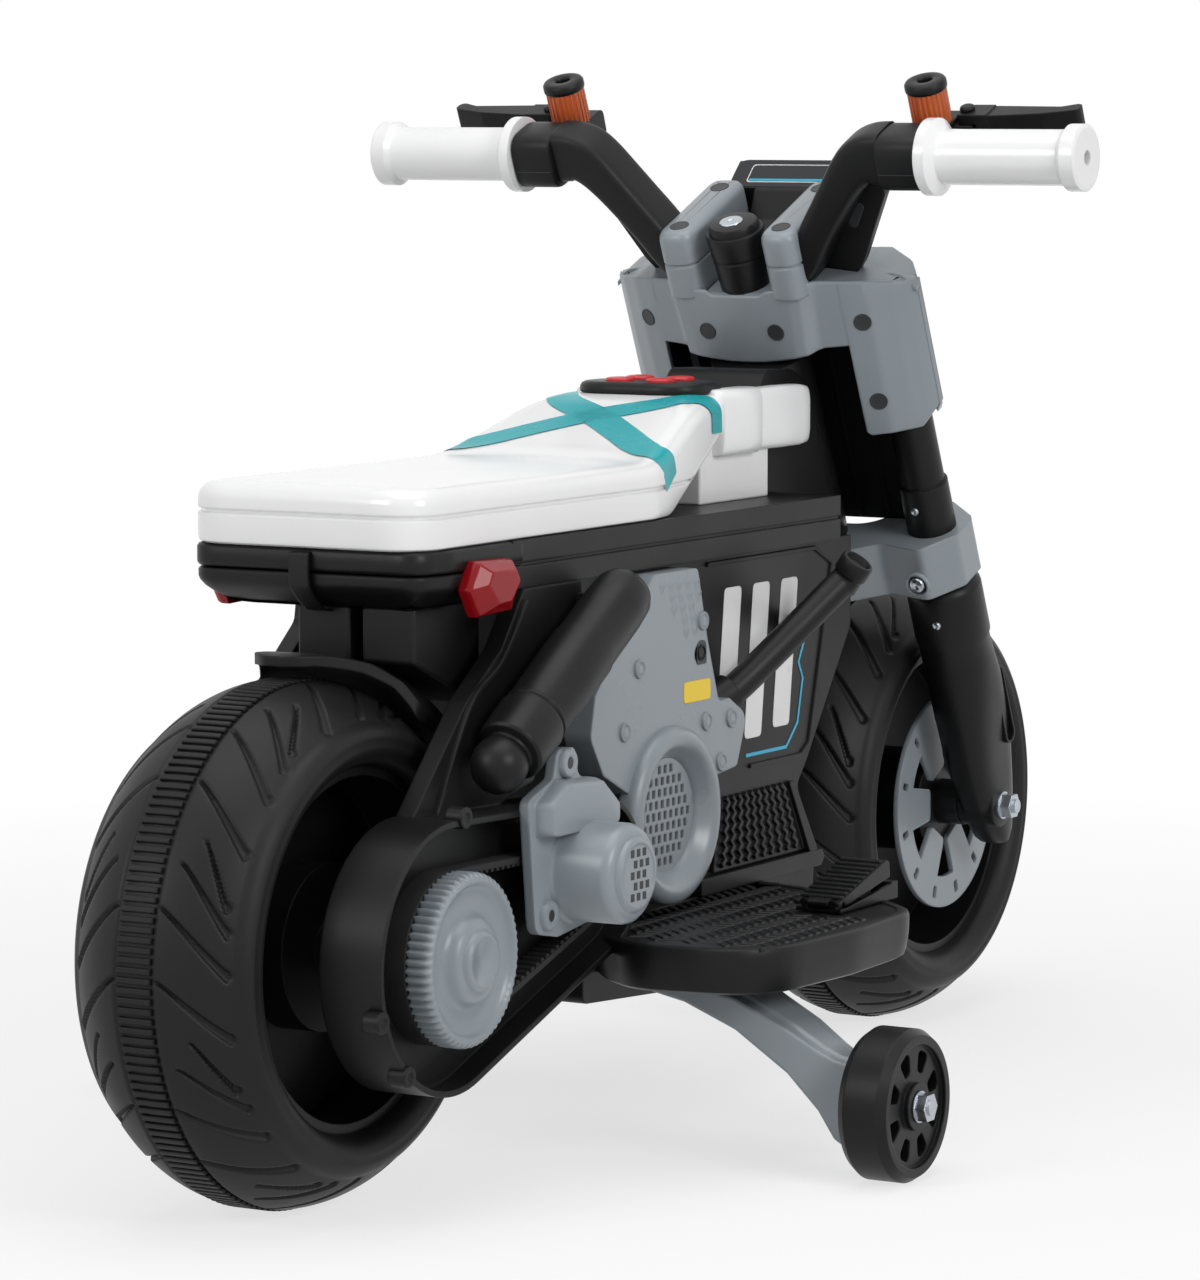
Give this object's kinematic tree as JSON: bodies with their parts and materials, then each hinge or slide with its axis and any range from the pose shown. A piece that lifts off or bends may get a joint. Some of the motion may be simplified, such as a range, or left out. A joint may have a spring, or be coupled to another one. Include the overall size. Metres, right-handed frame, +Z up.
{
  "type": "child's electric motorbike",
  "caption": "Child-size electric ride-on motorbike: raked turning fork, spinning wheels, side training wheels, moulded seat with push buttons, foot pedal and brake levers.",
  "frame": {"origin": "on the ground, midway between the two wheel axles, on the centre plane", "axes": "+X forward, +Y to the rider's left, +Z up"},
  "size_m": [0.885, 0.501, 0.5508],
  "materials": {
    "tyre_plastic": "moulded satin",
    "black_plastic": "fine grained",
    "grey_plastic": "satin",
    "white_plastic": "gloss",
    "zinc_steel": "bright zinc",
    "red_plastic": "gloss",
    "red_lens": "clear tinted",
    "amber_lens": "clear tinted",
    "belt_rubber": "matt",
    "inner_plastic": "matt",
    "motor_steel": "rolled"
  },
  "bodies": {
    "frame": {"swing_arms": "black_plastic", "body_left": "black_plastic", "body_right": "black_plastic", "belly_pan": "black_plastic", "neck": "black_plastic", "tray": "black_plastic", "tray_lid": "black_plastic", "rear_fender": "black_plastic", "shock": "black_plastic", "crash_bars": "black_plastic", "footboards": "black_plastic", "pedal_base": "black_plastic", "button_pad": "black_plastic", "pulley": "grey_plastic", "motor_cover": "grey_plastic", "side_panels": "grey_plastic", "training_brackets": "grey_plastic", "seat_top": "white_plastic", "seat_base": "white_plastic", "seat_nose": "white_plastic", "rear_axle": "zinc_steel", "training_bolts": "zinc_steel", "tail_lights": "red_lens", "belt": "belt_rubber", "gearbox": "inner_plastic", "battery": "inner_plastic", "control_board": "inner_plastic", "speaker": "inner_plastic", "charging_jack": "inner_plastic", "foot_switch": "inner_plastic", "drive_motor": "motor_steel"},
    "steering": {"fork_tubes": "black_plastic", "fork_legs": "black_plastic", "lower_clamp": "grey_plastic", "steering_column": "zinc_steel", "shroud_rear": "grey_plastic", "shroud_front": "grey_plastic", "bar_arms": "black_plastic", "clamp_caps": "grey_plastic", "stem_cap": "black_plastic", "display_housing": "black_plastic", "grips": "white_plastic", "lever_perches": "black_plastic", "indicator_lenses": "amber_lens", "indicator_caps": "black_plastic", "front_axle": "zinc_steel"},
    "front_wheel": {"front_tyre": "tyre_plastic", "front_hub": "black_plastic", "front_discs": "grey_plastic"},
    "rear_wheel": {"rear_tyre": "tyre_plastic", "rear_hub": "black_plastic"},
    "training_wheel_r": {"training_wheel_right": "black_plastic"},
    "training_wheel_l": {"training_wheel_left": "black_plastic"},
    "pedal": {"accelerator_pedal": "black_plastic"},
    "lever_r": {"brake_lever_right": "black_plastic"},
    "lever_l": {"brake_lever_left": "black_plastic"},
    "push_button_1": {"button_1": "red_plastic"},
    "push_button_2": {"button_2": "red_plastic"},
    "push_button_3": {"button_3": "red_plastic"},
    "push_button_4": {"button_4": "red_plastic"}
  },
  "joints": [
    {"name": "steering_turn", "type": "hinge", "parent": "frame", "child": "steering", "pos_m": [0.19497, 0, 0.34113], "axis": [-0.4067, 0, 0.9135], "range_deg": [-20, 20]},
    {"name": "front_wheel_spin", "type": "hinge", "parent": "steering", "child": "front_wheel", "pos_m": [0.3135, 0, 0.129], "axis": [0, 1, 0], "continuous": true},
    {"name": "rear_wheel_spin", "type": "hinge", "parent": "frame", "child": "rear_wheel", "pos_m": [-0.3135, 0, 0.129], "axis": [0, 1, 0], "continuous": true},
    {"name": "training_wheel_right_spin", "type": "hinge", "parent": "frame", "child": "training_wheel_r", "pos_m": [-0.113, -0.2295, 0.0385], "axis": [0, 1, 0], "continuous": true},
    {"name": "training_wheel_left_spin", "type": "hinge", "parent": "frame", "child": "training_wheel_l", "pos_m": [-0.085, 0.2295, 0.0385], "axis": [0, 1, 0], "continuous": true},
    {"name": "pedal_press", "type": "hinge", "parent": "frame", "child": "pedal", "pos_m": [-0.031, -0.145, 0.122], "axis": [0, 1, 0], "range_deg": [0, 4], "stiffness_Nm_per_rad": 1.5, "springref_deg": -5.73},
    {"name": "brake_lever_right_pull", "type": "hinge", "parent": "steering", "child": "lever_r", "pos_m": [0.16744, -0.131, 0.52098], "axis": [0.4067, 0, -0.9135], "range_deg": [0, 10], "stiffness_Nm_per_rad": 0.8, "springref_deg": -5.73},
    {"name": "brake_lever_left_pull", "type": "hinge", "parent": "steering", "child": "lever_l", "pos_m": [0.16744, 0.131, 0.52098], "axis": [-0.4067, 0, 0.9135], "range_deg": [0, 10], "stiffness_Nm_per_rad": 0.8, "springref_deg": -5.73},
    {"name": "button_1_press", "type": "slide", "parent": "frame", "child": "push_button_1", "axis": [0, 0, -1], "range_m": [0, 0.0015], "stiffness_N_per_m": 300, "springref_m": -0.001},
    {"name": "button_2_press", "type": "slide", "parent": "frame", "child": "push_button_2", "axis": [0, 0, -1], "range_m": [0, 0.0015], "stiffness_N_per_m": 300, "springref_m": -0.001},
    {"name": "button_3_press", "type": "slide", "parent": "frame", "child": "push_button_3", "axis": [0, 0, -1], "range_m": [0, 0.0015], "stiffness_N_per_m": 300, "springref_m": -0.001},
    {"name": "button_4_press", "type": "slide", "parent": "frame", "child": "push_button_4", "axis": [0, 0, -1], "range_m": [0, 0.0015], "stiffness_N_per_m": 300, "springref_m": -0.001}
  ]
}
